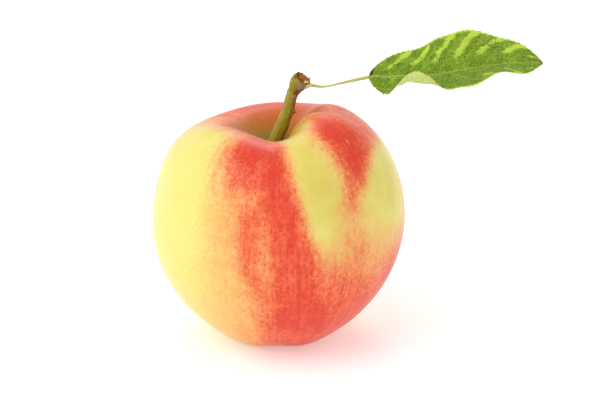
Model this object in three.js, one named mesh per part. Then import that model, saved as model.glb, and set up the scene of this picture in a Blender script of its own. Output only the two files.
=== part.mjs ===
// A fresh apple with its stem, a torn stub of the spur it grew on, and one leaf.
// Millimetres, +Z up. Every piece is worked out in the fruit's own frame, whose origin is the
// middle of the fruit. At the end the group is set down on z = 0 under its bounding box.

import * as THREE from "three";

// ---- Driving dimensions ---------------------------------------------------------------------

const FRUIT = {
  radius: 37.15, // at the widest girth
  halfHeight: 38.4,
  shoulderPower: 0.83, // power of the sine of the polar angle: under 1 squares the shoulders
  basePower: 1.21, // over 1 draws the lower half in
  taper: 0.083, // the girth sits above the middle
  cavityDepth: 14.5, // stem cavity
  cavityRadius: 12.2,
  cavityPower: 1.5,
  cavityShift: 0.11, // how much wider the cavity is on the -X side
  rimTilt: 0.4, // how much higher the rim is on the +X side
  basinDepth: 12, // calyx basin underneath
  basinRadius: 8.8,
  basinPower: 2.3,
  crownCount: 5, // low lobes that the fruit stands on
  crownDepth: 0.9,
  crownTurn: 18, // degrees
  footDepth: 0.55, // what resting has flattened off each lobe
  rings: 52,
  sectors: 72,
};

// Swellings of the cavity's rim: direction and spread in degrees, height in millimetres, and
// how much each one narrows the cavity.
const RIM_LOBES = [
  { azimuth: 212, height: 2.2, spread: 36, narrowing: 0.04 },
  { azimuth: 328, height: 2.3, spread: 26, narrowing: 0.3 },
  { azimuth: 20, height: 0.9, spread: 26, narrowing: 0.22 },
  { azimuth: 160, height: -0.6, spread: 32, narrowing: -0.05 },
  { azimuth: 268, height: -1.2, spread: 18, narrowing: 0 },
];

// Fuller stretches of the shoulders: direction and spread in degrees, the share that the radius
// gains, and how high it sits and reaches, as shares of the half height.
const SHOULDERS = [
  { azimuth: 0, spread: 55, swelling: 0.03, rise: 0.4, reach: 0.4 },
  { azimuth: 180, spread: 50, swelling: 0.03, rise: 0.75, reach: 0.2 },
];

const GAP = 0.3; // between pieces that touch

// Stem: route in the XZ plane from the cavity's floor up to the stub, and its radius.
const STEM = {
  route: [[-1.3, 25.35], [-0.4, 27.9], [1.2, 31.5], [2.3, 34.4], [3.3, 37.3], [3.95, 40.1], [4.5, 42.0]],
  radii: [[0, 1.6], [0.12, 2.05], [0.3, 2.0], [0.5, 1.92], [0.7, 1.78], [0.85, 1.66], [1, 1.68]],
};

// Nub on the stem where a second stalk has dropped off.
const NUB = { along: 0.68, height: 0.7, spread: 0.05 };

// Spur stub: a short swollen end whose torn, hollow face looks up and a little forwards.
const STUB = {
  route: [[4.75, 42.4], [5.2, 43.4], [6.1, 44.9], [7.4, 46.7]],
  radii: [[0, 1.75], [0.3, 2.1], [0.65, 2.6], [0.85, 2.55], [1, 2.4]],
  face: [0.37, -0.32, 0.87],
  hollow: 0.5,
};

// Leaf: one rib from the stub to the tip, first a thin round stalk and then the blade.
const STALK_ROUTE = [[9.6, 44.5], [13.5, 44.05], [18.4, 45.05], [22.8, 46.1], [26.9, 47.0]];
const RIB_ROUTE = [
  [26.9, 47.0], [36.9, 47.3], [44.7, 47.45], [52.6, 48.85], [58.4, 49.9], [66.3, 51.0], [77.7, 51.3],
];
const STALK = { radius: 0.45, footRadius: 0.75, footLength: 0.12, share: 0.2 };
const BLADE = {
  halfWidth: 14.3,
  lean: 1.1, // over 1 moves the widest place towards the tip
  basePower: 0.5, // blunt base
  tipPower: 0.75, // sharper tip
  ribThickness: 1.1,
  thickness: 0.7,
  leastHalfWidth: 0.35,
};

// How the blade's halves stand at stations from base 0 to tip 1: the slope beside the rib, and
// what the slope has gained at the margin. Degrees above level.
const FAR_HALF = [[0, 37, 0], [0.12, 37, -2], [0.28, 30, -4], [0.44, 36, -2], [0.8, 33, 0], [1, 30, 0]];
const NEAR_HALF = [
  [0, -45, -10], [0.08, -44, -4], [0.16, -24, 74], [0.25, -14, 122], [0.33, -13, 92], [0.42, -11, 26],
  [0.52, -5, 4], [0.75, 1, 6], [0.92, -8, 0], [1, -8, 0],
];

// Calyx: dry sepals round a tuft of stamens, on the floor of the basin.
const SEPALS = {
  count: 5,
  turn: 54, // degrees
  ring: 2.4, // radius that they stand on
  route: [[0, 0], [-0.35, -1.6], [-0.8, -3.1], [-0.2, -4.3]], // outwards and up from the foot
  halfWidths: [[0, 1.0], [0.4, 0.8], [0.8, 0.35], [1, 0.12]],
  halfThickness: 0.22,
};
const TUFT = { height: 3.0, radii: [[0, 0.7], [0.5, 0.55], [1, 0.9]] };

// ---- Materials --------------------------------------------------------------------------------

const finish = (color, roughness) => new THREE.MeshStandardMaterial({ color, roughness, metalness: 0 });
const SKIN_FINISH = finish(0xe8a24a, 0.35);
const STEM_FINISH = finish(0x8b8a2c, 0.6);
const BARK_FINISH = finish(0x8a5a30, 0.9);
const LEAF_FINISH = finish(0x6ca32c, 0.5);
const DRY_FINISH = finish(0x5c4630, 0.95);

// ---- Helpers ------------------------------------------------------------------------------------

const { degToRad, lerp, smoothstep, clamp, euclideanModulo } = THREE.MathUtils;
const OUT = new THREE.Vector3(0, 1, 0);

// A bell curve round a direction, 1 at its centre; angles in degrees but for the first.
function bell(angle, centre, spread) {
  const turn = euclideanModulo(angle - degToRad(centre) + Math.PI, 2 * Math.PI) - Math.PI;
  return Math.exp(-((turn / degToRad(spread)) ** 2));
}

// A smooth function through stations [place, value, ...], giving the values at a place.
function smoothly(stations) {
  const places = stations.map((station) => station[0]);
  const values = stations.flatMap((station) => station.slice(1));
  const track = new THREE.CubicInterpolant(places, values, stations[0].length - 1);
  return (place) => [...track.evaluate(clamp(place, places[0], places.at(-1)))];
}

// A curve through points [x, z] in the plane y = 0, with its frame at any place t along it:
// centre, forwards, and down, which is square to forwards in that plane.
function frames(points) {
  const curve = new THREE.CatmullRomCurve3(points.map(([x, z]) => new THREE.Vector3(x, 0, z)));
  return (t) => {
    const forwards = curve.getTangentAt(t);
    return { centre: curve.getPointAt(t), forwards, down: new THREE.Vector3(forwards.z, 0, -forwards.x) };
  };
}

// Moves every vertex of a geometry through a function of its place.
function reshape(geometry, place) {
  const position = geometry.getAttribute("position");
  const vertex = new THREE.Vector3();
  for (let i = 0; i < position.count; i += 1) {
    const moved = place(vertex.fromBufferAttribute(position, i));
    position.setXYZ(i, moved.x, moved.y, moved.z);
  }
  geometry.computeVertexNormals();
  return geometry;
}

// A capped unit cylinder carried along a route: place(t, a, b) puts the point that lies at
// (a, b) in the unit circle of section t.
function carried(segments, sectors, place) {
  const cylinder = new THREE.CylinderGeometry(1, 1, 1, sectors, segments);
  return reshape(cylinder, ({ x, y, z }) => place(clamp(y + 0.5, 0, 1), x, z));
}

function piece(name, geometry, material) {
  const mesh = new THREE.Mesh(geometry, material);
  mesh.name = name;
  return mesh;
}

// ---- Fruit ----------------------------------------------------------------------------------------

// Point of the skin at polar angle theta, 0 at the stem, and azimuth phi.
function skinPoint(theta, phi) {
  const rise = Math.cos(theta);
  const power = lerp(FRUIT.basePower, FRUIT.shoulderPower, smoothstep(rise, -0.4, 0.7));
  let girth = 1 + FRUIT.taper * rise;
  for (const shoulder of SHOULDERS) {
    const height = Math.exp(-(((rise - shoulder.rise) / shoulder.reach) ** 2));
    girth += shoulder.swelling * bell(phi, shoulder.azimuth, shoulder.spread) * height;
  }
  const radius = FRUIT.radius * Math.max(Math.sin(theta), 0) ** power * girth;

  let rim = FRUIT.rimTilt * Math.cos(phi);
  let width = 1 - FRUIT.cavityShift * Math.cos(phi);
  for (const lobe of RIM_LOBES) {
    const swelling = bell(phi, lobe.azimuth, lobe.spread);
    rim += lobe.height * swelling;
    width -= lobe.narrowing * swelling;
  }
  const cavity = Math.exp(-((radius / (FRUIT.cavityRadius * width)) ** FRUIT.cavityPower));
  const basin = Math.exp(-((radius / FRUIT.basinRadius) ** FRUIT.basinPower));
  const crown = 0.5 - 0.5 * Math.cos(FRUIT.crownCount * (phi - degToRad(FRUIT.crownTurn)));

  let z = FRUIT.halfHeight * rise;
  z += rim * (1 - cavity) * smoothstep(rise, 0.35, 0.95);
  z -= FRUIT.cavityDepth * cavity * smoothstep(rise, 0, 0.3);
  z += FRUIT.basinDepth * basin * smoothstep(-rise, 0, 0.3);
  z += FRUIT.crownDepth * crown * (1 - basin) * smoothstep(-rise, 0.6, 0.95);
  return new THREE.Vector3(radius * Math.cos(phi), radius * Math.sin(phi), z);
}

// Polar angle with the rings drawn together near the poles, where the hollows are.
const crowded = (theta) => theta - 0.25 * Math.sin(2 * theta);

function fruit() {
  const sphere = new THREE.SphereGeometry(1, FRUIT.sectors, FRUIT.rings);
  reshape(sphere, ({ x, y, z }) => skinPoint(crowded(Math.acos(clamp(y, -1, 1))), Math.atan2(-z, x)));
  sphere.computeBoundingBox();
  const feet = sphere.boundingBox.min.z + FRUIT.footDepth;
  reshape(sphere, (point) => point.setZ(Math.max(point.z, feet)));
  return piece("fruit", sphere, SKIN_FINISH);
}

// Lowest height of the calyx basin's floor within a radius of the axis.
function basinFloor(radius) {
  const sine = (radius / FRUIT.radius) ** (1 / FRUIT.basePower);
  return skinPoint(Math.PI - Math.asin(sine), 0).z;
}

// ---- Stem and spur stub ---------------------------------------------------------------------------

function stem() {
  const frameAt = frames(STEM.route);
  const radiusAt = smoothly(STEM.radii);
  const rod = carried(16, 16, (t, a, b) => {
    const { centre, down } = frameAt(t);
    const nub = NUB.height * Math.exp(-(((t - NUB.along) / NUB.spread) ** 2)) * Math.max(a, 0) ** 4;
    const radius = radiusAt(t)[0] + nub;
    return centre.addScaledVector(down, a * radius).addScaledVector(OUT, -b * radius);
  });
  return piece("stem", rod, STEM_FINISH);
}

function spurStub() {
  const frameAt = frames(STUB.route);
  const radiusAt = smoothly(STUB.radii);
  const faceNormal = new THREE.Vector3(...STUB.face).normalize();
  const knob = carried(8, 18, (t, a, b) => {
    const { centre, forwards, down } = frameAt(t);
    const normal = forwards.lerp(faceNormal, smoothstep(t, 0, 1)).normalize();
    const across = down.addScaledVector(normal, -down.dot(normal)).normalize();
    const beside = new THREE.Vector3().crossVectors(across, normal);
    const radius = radiusAt(t)[0];
    centre.addScaledVector(across, a * radius).addScaledVector(beside, b * radius);
    const hollow = t === 1 ? STUB.hollow * (1 - a * a - b * b) : 0;
    return centre.addScaledVector(normal, -hollow);
  });
  return piece("spur_stub", knob, BARK_FINISH);
}

// ---- Leaf -----------------------------------------------------------------------------------------

const farHalf = smoothly(FAR_HALF);
const nearHalf = smoothly(NEAR_HALF);

// Half the blade's width at a share u of its length.
function bladeHalfWidth(u) {
  const arch = Math.sin(Math.PI * clamp(u, 0, 1) ** BLADE.lean);
  const width = BLADE.halfWidth * Math.max(arch, 0) ** lerp(BLADE.basePower, BLADE.tipPower, u);
  return Math.max(width, lerp(STALK.radius, BLADE.leastHalfWidth, u));
}

// The blade's section: from the rib out to a share v of a half's width, -1 at the near margin
// and 1 at the far one, along an arc whose slope grows with the square of v.
function bladeSection(u, v) {
  const [slope, gain] = v < 0 ? nearHalf(u) : farHalf(u);
  const steps = 12;
  const step = (Math.abs(v) * bladeHalfWidth(u)) / steps;
  const at = { out: 0, up: 0, slope: 0 };
  for (let i = 0; i < steps; i += 1) {
    const share = (Math.abs(v) * (i + 0.5)) / steps;
    at.slope = degToRad(slope + gain * share * share);
    at.out += step * Math.cos(at.slope);
    at.up += step * Math.sin(at.slope);
  }
  const beside = smoothstep(Math.abs(v), 0, 0.2);
  return { out: Math.sign(v) * at.out, up: at.up, lean: -Math.sign(v) * at.slope * beside };
}

function leaf() {
  const stalkFrame = frames(STALK_ROUTE);
  const ribFrame = frames(RIB_ROUTE);
  const loft = carried(50, 28, (t, a, b) => {
    const u = (t - STALK.share) / (1 - STALK.share);
    if (u < 0) {
      const { centre, down } = stalkFrame(t / STALK.share);
      const foot = 1 - smoothstep(t / STALK.share, 0, STALK.footLength);
      const radius = lerp(STALK.radius, STALK.footRadius, foot);
      return centre.addScaledVector(down, a * radius).addScaledVector(OUT, -b * radius);
    }
    const { centre, down } = ribFrame(u);
    const { out, up, lean } = bladeSection(u, -b);
    const rib = Math.exp(-((b * bladeHalfWidth(u)) ** 2));
    const half = 0.5 * lerp(BLADE.thickness, BLADE.ribThickness, rib) * lerp(1, 0.6, u);
    centre.addScaledVector(OUT, out - a * half * Math.sin(lean));
    return centre.addScaledVector(down, a * half * Math.cos(lean) - up);
  });
  return piece("leaf", loft, LEAF_FINISH);
}

// ---- Calyx ----------------------------------------------------------------------------------------

function sepal(index) {
  const foot = basinFloor(SEPALS.ring + 1) - GAP;
  const route = SEPALS.route.map(([out, up]) => [SEPALS.ring + out, foot + up]);
  const frameAt = frames(route);
  const halfWidthAt = smoothly(SEPALS.halfWidths);
  const strip = carried(8, 10, (t, a, b) => {
    const { centre, down } = frameAt(t);
    centre.addScaledVector(down, a * SEPALS.halfThickness);
    return centre.addScaledVector(OUT, -b * halfWidthAt(t)[0]);
  });
  strip.rotateZ(degToRad(SEPALS.turn + (360 / SEPALS.count) * index));
  return piece(`sepal_${index + 1}`, strip, DRY_FINISH);
}

function stamenTuft() {
  const foot = basinFloor(0) - 2 * GAP;
  const frameAt = frames([[0, foot], [0, foot - TUFT.height]]);
  const radiusAt = smoothly(TUFT.radii);
  const brush = carried(6, 12, (t, a, b) => {
    const { centre, down } = frameAt(t);
    const radius = radiusAt(t)[0];
    return centre.addScaledVector(down, a * radius).addScaledVector(OUT, -b * radius);
  });
  return piece("stamen_tuft", brush, DRY_FINISH);
}

// ---- Assembly -------------------------------------------------------------------------------------

const apple = new THREE.Group();
apple.add(fruit(), stem(), spurStub(), leaf(), stamenTuft());
for (let i = 0; i < SEPALS.count; i += 1) apple.add(sepal(i));

const box = new THREE.Box3().setFromObject(apple, true);
const middle = box.getCenter(new THREE.Vector3());
apple.position.set(-middle.x, -middle.y, -box.min.z);

export default apple;
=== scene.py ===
"""A fresh apple with its stem, a torn stub of the spur it grew on, one leaf and a dry calyx.

Every piece is a closed surface of two parameters, worked out with numpy in the fruit's own frame,
whose origin is the middle of the fruit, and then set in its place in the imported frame. The front of
the fruit faces -Y, the leaf points to +X, and azimuths turn from +X towards +Y.
"""

import math

import bpy
import numpy as np
from bpy.props import FloatProperty, FloatVectorProperty, IntProperty, PointerProperty
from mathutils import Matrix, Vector


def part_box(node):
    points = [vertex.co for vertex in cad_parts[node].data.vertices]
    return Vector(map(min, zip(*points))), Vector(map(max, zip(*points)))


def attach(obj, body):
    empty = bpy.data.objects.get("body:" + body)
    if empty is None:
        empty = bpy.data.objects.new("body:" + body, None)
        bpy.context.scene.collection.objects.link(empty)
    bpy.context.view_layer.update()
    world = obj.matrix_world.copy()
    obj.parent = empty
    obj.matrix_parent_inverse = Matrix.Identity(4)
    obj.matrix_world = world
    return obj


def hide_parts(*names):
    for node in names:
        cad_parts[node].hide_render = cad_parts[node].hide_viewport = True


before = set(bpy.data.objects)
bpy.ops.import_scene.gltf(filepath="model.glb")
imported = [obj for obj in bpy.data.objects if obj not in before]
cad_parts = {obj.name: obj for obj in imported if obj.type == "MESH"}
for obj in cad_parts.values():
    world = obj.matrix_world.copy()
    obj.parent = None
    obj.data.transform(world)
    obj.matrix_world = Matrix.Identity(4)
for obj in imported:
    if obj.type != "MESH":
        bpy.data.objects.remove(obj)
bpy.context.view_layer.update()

bl_info = {
    "name": "Apple with stem and leaf",
    "version": (1, 0, 0),
    "blender": (4, 5, 0),
    "location": "View3D > Sidebar > Apple",
    "description": "Builds a fresh apple with its stem, spur stub, leaf and calyx on its packed frame",
    "category": "Add Mesh",
}

MM = 0.001
TURN = 2 * np.pi


# ---- Settings ----------------------------------------------------


def length(name, description, default):
    """A length in metres that a user may change."""
    return FloatProperty(name=name, description=description, default=default, unit="LENGTH", precision=5)


def share(name, description, default, low=0.0, high=1.0):
    """A plain number that a user may change."""
    return FloatProperty(name=name, description=description, default=default, min=low, max=high)


def colour(name, description, red, green, blue):
    """A linear colour that a user may change."""
    return FloatVectorProperty(
        name=name, description=description, default=(red, green, blue, 1),
        size=4, min=0, max=1, subtype="COLOR",
    )


class FruitSettings(bpy.types.PropertyGroup):
    """Shape and colours of the fruit."""

    radius: length("Radius", "Half the girth, before the taper", 0.03715)
    half_height: length("Half height", "Height of the poles, before the hollows", 0.0384)
    shoulder_power: share("Shoulders", "Power of the sine above the girth: less is squarer", 0.83, 0.3, 2)
    base_power: share("Base", "Power of the sine below the girth: more is more pointed", 1.21, 0.3, 2)
    taper: share("Taper", "How far the girth sits above the middle", 0.083)
    cavity_depth: length("Cavity depth", "Depth of the stem cavity", 0.0145)
    cavity_radius: length("Cavity radius", "Reach of the stem cavity", 0.0122)
    basin_depth: length("Basin depth", "Depth of the calyx basin", 0.012)
    basin_radius: length("Basin radius", "Reach of the calyx basin", 0.0088)
    crown_depth: length("Crown depth", "Depth between the five lobes underneath", 0.0009)
    foot_depth: length("Foot depth", "What resting has flattened off each lobe", 0.00055)
    yellow: colour("Yellow", "Bare ground colour of the skin", 0.8, 0.73, 0.2)
    green_yellow: colour("Green yellow", "Ground colour where it is less ripe", 0.68, 0.56, 0.1)
    peach: colour("Peach", "Ground colour under a thin blush", 0.81, 0.47, 0.13)
    # The olive floor of the stem cavity is partly its own russet and partly painted shade.
    olive: colour("Olive", "Floor of the stem cavity", 0.24, 0.19, 0.02)
    russet: colour("Russet", "Corky specks and scars", 0.5, 0.32, 0.1)


class StemSettings(bpy.types.PropertyGroup):
    """Shape and colours of the stem and the spur stub."""

    nub_height: length("Nub height", "Height of the nub where a second stalk dropped off", 0.0008)
    hollow: length("Hollow", "Depth of the stub's torn face", 0.0013)
    rind: colour("Rind", "Olive rind of the stem", 0.3, 0.25, 0.008)
    # The yellow-green side is a painted highlight on the side facing the key light; the orange-brown side
    # is partly the rind's own tint and partly painted shade.
    rind_highlight: colour("Light rind", "Yellow-green side of the stem", 0.36, 0.32, 0.04)
    rind_brown: colour("Brown rind", "Orange-brown side of the stem", 0.26, 0.1, 0.008)
    bark: colour("Bark", "Brown skin of the stub", 0.16, 0.07, 0.025)
    fibre: colour("Fibre", "Torn fibres inside the stub", 0.56, 0.24, 0.05)


class LeafSettings(bpy.types.PropertyGroup):
    """Shape and colours of the leaf."""

    half_width: length("Half width", "Half the blade's width at its widest", 0.0143)
    thickness: length("Thickness", "Thickness of the blade", 0.00035)
    rib_thickness: length("Rib thickness", "Thickness at the rib", 0.0009)
    stalk_radius: length("Stalk radius", "Radius of the leaf's stalk", 0.00047)
    teeth: IntProperty(name="Teeth", description="Teeth along each margin", default=34, min=1)
    veins: share("Veins", "Side veins along each half", 7.5, 1, 20)
    green: colour("Green", "Upper side", 0.13, 0.28, 0.005)
    dark: colour("Dark green", "Upper side beside the veins", 0.055, 0.14, 0.003)
    lime: colour("Lime", "Margins and pale patches", 0.55, 0.74, 0.07)
    underside: colour("Underside", "Lower side", 0.52, 0.67, 0.16)
    stalk: colour("Stalk", "Leaf stalk and rib", 0.5, 0.5, 0.15)


class CalyxSettings(bpy.types.PropertyGroup):
    """Shape and colours of the dry sepals and stamens."""

    threads: IntProperty(name="Stamens", description="Number of dry stamens", default=18, min=1)
    brown: colour("Brown", "Dry brown of the sepals", 0.12, 0.065, 0.03)
    grey: colour("Grey", "Downy grey of the sepals", 0.3, 0.27, 0.2)


class StageSettings(bpy.types.PropertyGroup):
    """Camera, floor and light."""

    elevation: FloatProperty(
        name="Elevation", description="Camera's height above the horizon",
        default=math.radians(20), subtype="ANGLE",
    )
    distance: length("Distance", "From the camera to what it aims at", 0.75)
    lens: FloatProperty(name="Lens", description="Focal length in millimetres", default=150.6, min=1)
    sky: share("Sky", "Strength of the even white light", 0.86, 0, 10)
    key: share("Key light", "Power of the large soft light in watts", 4.4, 0, 1000)


# Swellings of the cavity's rim: azimuth, height in mm, spread in degrees, and how much each one
# narrows the cavity.
RIM_LOBES = [
    (212, 2.2, 36, 0.04),
    (328, 2.3, 26, 0.3),
    (20, 0.9, 26, 0.22),
    (160, -0.6, 32, -0.05),
    (268, -1.2, 18, 0.0),
]
RIM_TILT = 0.4 * MM

# Fuller stretches of the shoulders: azimuth, spread in degrees, share that the radius gains, and
# how high it sits and reaches, as shares of the half height.
SHOULDERS = [(0, 55, 0.03, 0.4, 0.4), (180, 50, 0.03, 0.75, 0.2)]
CAVITY_SHIFT = 0.11
CAVITY_POWER = 1.5
BASIN_POWER = 2.3
CROWN = {"count": 5, "turn": 18}

# Brush strokes of red, from the stem end down: polar angle, azimuth, half width, strength.
BLUSH = {
    "left shoulder": [
        (8, 250, 22, 0), (13, 250, 24, 0.5), (20, 251, 23, 0.85), (30, 252, 22, 0.95),
        (40, 252, 22, 0.85),
        (50, 252, 21, 0.6), (60, 253, 18, 0.32), (75, 255, 17, 0.26), (95, 258, 17, 0.16),
        (120, 262, 16, 0),
    ],
    "left core": [
        (18, 252, 12, 0), (25, 254, 14, 0.45), (34, 255, 13, 0.45), (44, 257, 9, 0.2),
        (54, 258, 8, 0),
    ],
    "centre streak": [
        (16, 266, 9, 0), (24, 267, 10, 0.45), (34, 268, 10, 0.65), (44, 269.5, 10, 0.85),
        (56, 272, 10, 0.95),
        (70, 275, 10, 0.95), (82, 277, 10, 0.85), (98, 279, 10, 0.7), (112, 281, 11, 0.75),
        (126, 281, 13, 0.55), (140, 279, 16, 0.3), (155, 275, 18, 0),
    ],
    "left fringe": [
        (56, 258, 5, 0), (66, 257.5, 5.5, 0.45), (80, 257, 6, 0.5), (90, 259, 6, 0.45),
        (100, 264, 6, 0.25), (111, 268, 5, 0.35), (122, 270, 6, 0.3), (135, 270, 7, 0),
    ],
    "centre wash": [
        (48, 262, 14, 0.3), (60, 264, 14, 0.4), (72, 268, 15, 0.45), (82, 275, 18, 0.45),
        (92, 283, 24, 0.5),
        (104, 287, 30, 0.5), (120, 290, 34, 0.5), (140, 290, 40, 0.5), (158, 285, 50, 0.2),
    ],
    "right shoulder": [
        (8, 328, 26, 0), (16, 325, 22, 0.55), (22, 320, 21, 0.95), (32, 320, 21, 1.0), (42, 321, 19, 1.0),
        (50, 317, 14, 0.9), (57, 312, 10, 0.75), (64, 308, 8, 0.55), (72, 307, 8, 0.4),
        (84, 308, 10, 0.3),
        (95, 312, 12, 0),
    ],
    "far right shoulder": [
        (8, 356, 34, 0), (17, 354, 30, 0.7), (30, 352, 24, 0.8), (42, 350, 22, 0.65), (49, 350, 20, 0),
    ],
    "lower right": [
        (74, 312, 20, 0), (84, 312, 30, 0.25), (92, 310, 38, 0.45), (101, 308, 44, 0.6),
        (113, 308, 46, 0.7),
        (126, 310, 50, 0.75), (142, 310, 60, 0.7), (156, 305, 80, 0.5), (170, 300, 120, 0.2),
    ],
    "right edge": [
        (54, 368, 14, 0), (64, 364, 15, 0.3), (76, 360, 18, 0.4), (86, 356, 20, 0.6), (96, 352, 24, 0.8),
        (110, 346, 28, 0.85), (130, 340, 30, 0.6), (150, 335, 40, 0),
    ],
    "left wash": [
        (50, 246, 26, 0), (66, 246, 28, 0.06), (100, 248, 30, 0.1), (140, 250, 40, 0.16),
        (165, 250, 60, 0),
    ],
    "left rim": [
        (4, 195, 50, 0.3), (12, 198, 44, 0.8), (18, 200, 36, 0.7), (24, 202, 30, 0.25),
        (30, 205, 26, 0),
    ],
    "back rim": [
        (3, 95, 100, 0.2), (9, 95, 92, 0.8), (18, 93, 88, 0.95), (30, 91, 80, 0.95), (42, 90, 72, 0.7),
        (60, 86, 60, 0.4), (80, 84, 50, 0),
    ],
    "back wash": [
        (60, 66, 40, 0.2), (85, 70, 50, 0.5), (110, 76, 62, 0.6), (135, 84, 80, 0.6),
        (160, 90, 120, 0.25),
    ],
    "back streak 1": [
        (18, 22, 9, 0.2), (40, 20, 10, 0.8), (70, 16, 9, 0.8), (100, 18, 9, 0.4), (120, 20, 8, 0),
    ],
    "back streak 2": [
        (18, 52, 8, 0.2), (40, 50, 9, 0.7), (80, 47, 9, 0.8), (120, 50, 10, 0.7), (150, 55, 10, 0),
    ],
    "back streak 3": [
        (18, 84, 9, 0.2), (40, 86, 11, 0.8), (80, 89, 10, 0.7), (120, 86, 10, 0.6), (150, 84, 10, 0),
    ],
    "back streak 4": [
        (18, 118, 8, 0.2), (40, 121, 10, 0.7), (76, 124, 9, 0.6), (104, 122, 8, 0.2),
        (120, 120, 8, 0),
    ],
    "back streak 5": [(24, 146, 6, 0), (44, 148, 7, 0.45), (66, 150, 6, 0.3), (84, 150, 6, 0)],
}

# The same for a thin peach tint and for unripe green.
PEACH = {
    "under the left shoulder": [
        (46, 248, 15, 0), (58, 246, 15, 0.6), (80, 247, 15, 0.6), (110, 248, 20, 0.55),
        (150, 250, 30, 0.6),
    ],
    "lower left": [(78, 222, 24, 0), (100, 222, 26, 0.2), (130, 222, 34, 0.5), (165, 220, 60, 0.6)],
    "under the right shoulder": [
        (56, 314, 12, 0), (72, 312, 18, 0.5), (86, 315, 36, 0.8), (100, 320, 42, 0.8),
        (130, 320, 42, 0.8),
    ],
    "left rim": [(6, 205, 60, 0.5), (20, 208, 40, 0.8), (30, 214, 30, 0.2), (38, 215, 24, 0)],
    "back": [(40, 90, 84, 0.3), (80, 84, 70, 0.5), (140, 90, 90, 0.6)],
}
GREEN = {
    "cavity": [(0, 0, 200, 1), (9, 0, 200, 0.9), (15, 0, 200, 0.45), (22, 0, 200, 0)],
    "front patch": [
        (14, 286, 16, 0.5), (30, 288, 14, 0.6), (56, 294, 14, 0.75), (74, 298, 14, 0.5),
        (90, 300, 14, 0),
    ],
    "right patch": [(44, 338, 18, 0.3), (56, 335, 22, 0.55), (72, 330, 20, 0.45), (86, 328, 14, 0)],
    "left shoulder": [(22, 212, 20, 0.3), (32, 214, 16, 0.3), (46, 214, 10, 0.1), (56, 214, 8, 0)],
    "basin": [(150, 0, 200, 0), (162, 0, 200, 0.6), (180, 0, 200, 1)],
}

# Routes in the plane y = 0, in mm: x and z. Radii in mm at shares of the route.
STEM_ROUTE = [
    (-1.7, 23.6), (-1.3, 25.35), (-0.4, 27.9), (1.2, 31.5), (2.3, 34.4), (3.3, 37.3), (3.95, 40.1),
    (4.7, 42.8),
]
STEM_RADII = [(0, 2.5), (0.12, 2.15), (0.3, 2.0), (0.5, 1.92), (0.7, 1.78), (0.85, 1.66), (1, 1.62)]
STEM_NUB = {"along": 0.7, "spread": 0.022}
STUB_ROUTE = [(4.5, 41.4), (4.85, 42.4), (5.3, 43.4), (6.1, 44.9), (7.4, 46.7)]
STUB_RADII = [(0, 1.5), (0.2, 1.72), (0.4, 2.05), (0.7, 2.6), (0.88, 2.58), (1, 2.42)]
STUB_FACE = (0.37, -0.32, 0.87)
STALK_ROUTE = [(8.0, 44.6), (9.4, 44.55), (13.5, 44.05), (18.4, 45.05), (22.8, 46.1), (26.9, 47.0)]
RIB_ROUTE = [
    (26.9, 47.0), (36.9, 47.3), (44.7, 47.45), (52.6, 48.85), (58.4, 49.9), (66.3, 51.0), (77.7, 51.3),
]
STALK_RADII = [(0, 2.6), (0.05, 2.2), (0.1, 1.25), (0.16, 1.0), (0.8, 1.0), (1, 1.15)]
STALK_LENGTH = 19  # mm
BLADE_LENGTH = 51  # mm

# How the blade's halves stand, from base 0 to tip 1: slope beside the rib, and what the slope
# has gained at the margin, in degrees above level.
FAR_HALF = [(0, 37, 0), (0.12, 37, -2), (0.28, 30, -4), (0.44, 36, -2), (0.8, 33, 0), (1, 30, 0)]
NEAR_HALF = [
    (0, -45, -10), (0.08, -44, -4), (0.16, -24, 74), (0.25, -14, 122), (0.33, -13, 92), (0.42, -11, 26),
    (0.52, -5, 4), (0.75, 1, 6), (0.92, -8, 0), (1, -8, 0),
]
SEPAL_ROUTE = [(2.5, 0.5), (2.4, -0.6), (2.05, -2.0), (1.65, -3.3), (2.2, -4.5)]
SEPAL_WIDTHS = [(0, 1.15), (0.3, 1.1), (0.6, 0.75), (0.85, 0.35), (1, 0.06)]
SEPALS = {"count": 5, "turn": 54}

# Share of the stub's rows at which its side ends and its torn face begins.
FACE_START = 0.6

# How far across a brush stroke its fading starts and ends, in half widths.
STROKE_FADE = (0.1, 1.65)

# Polar angle and azimuth of the corky scar, and azimuth and spread of the cavity's front, where its
# painted shade is lighter.
SCAR = (37, 321)
LIGHT_FRONT = (310, 45)

# Radius in mm on which the streaks' coordinates are laid.
STREAK_RADIUS = 36

# Rows and columns of the surfaces.
FRUIT_GRID = (220, 420)
STEM_GRID = (240, 96)
STUB_GRID = (160, 120)
LEAF_GRID = (312, 240)
SEPAL_GRID = (40, 24)
THREAD_GRID = (16, 8)
SECTION_STEPS = 60

# Where the camera aims, in mm from the middle of the fruit.
AIM = (6.74, 2.81, 7.72)

# Lamps: name, direction from the fruit, distance and size in metres, share of the key light's power.
LAMPS = [
    ("key", (-0.6, -0.35, 0.8), 1.1, 0.9, 1),
    ("back", (0.1, 0.75, 0.7), 1.0, 0.4, 0.25),
]
FLOOR_HALF = 3.0


# ---- Numbers -----------------------------------------------------


def ease(value, low, high):
    """0 below low, 1 above high, and 3t^2 - 2t^3 between them."""
    t = np.clip((value - low) / (high - low), 0, 1)
    return t * t * (3 - 2 * t)


def bell(angle, centre, spread):
    """exp(-(difference / spread)^2) of two directions; angle in radians, the others in degrees."""
    difference = (angle - math.radians(centre) + np.pi) % TURN - np.pi
    return np.exp(-((difference / math.radians(spread)) ** 2))


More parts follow.
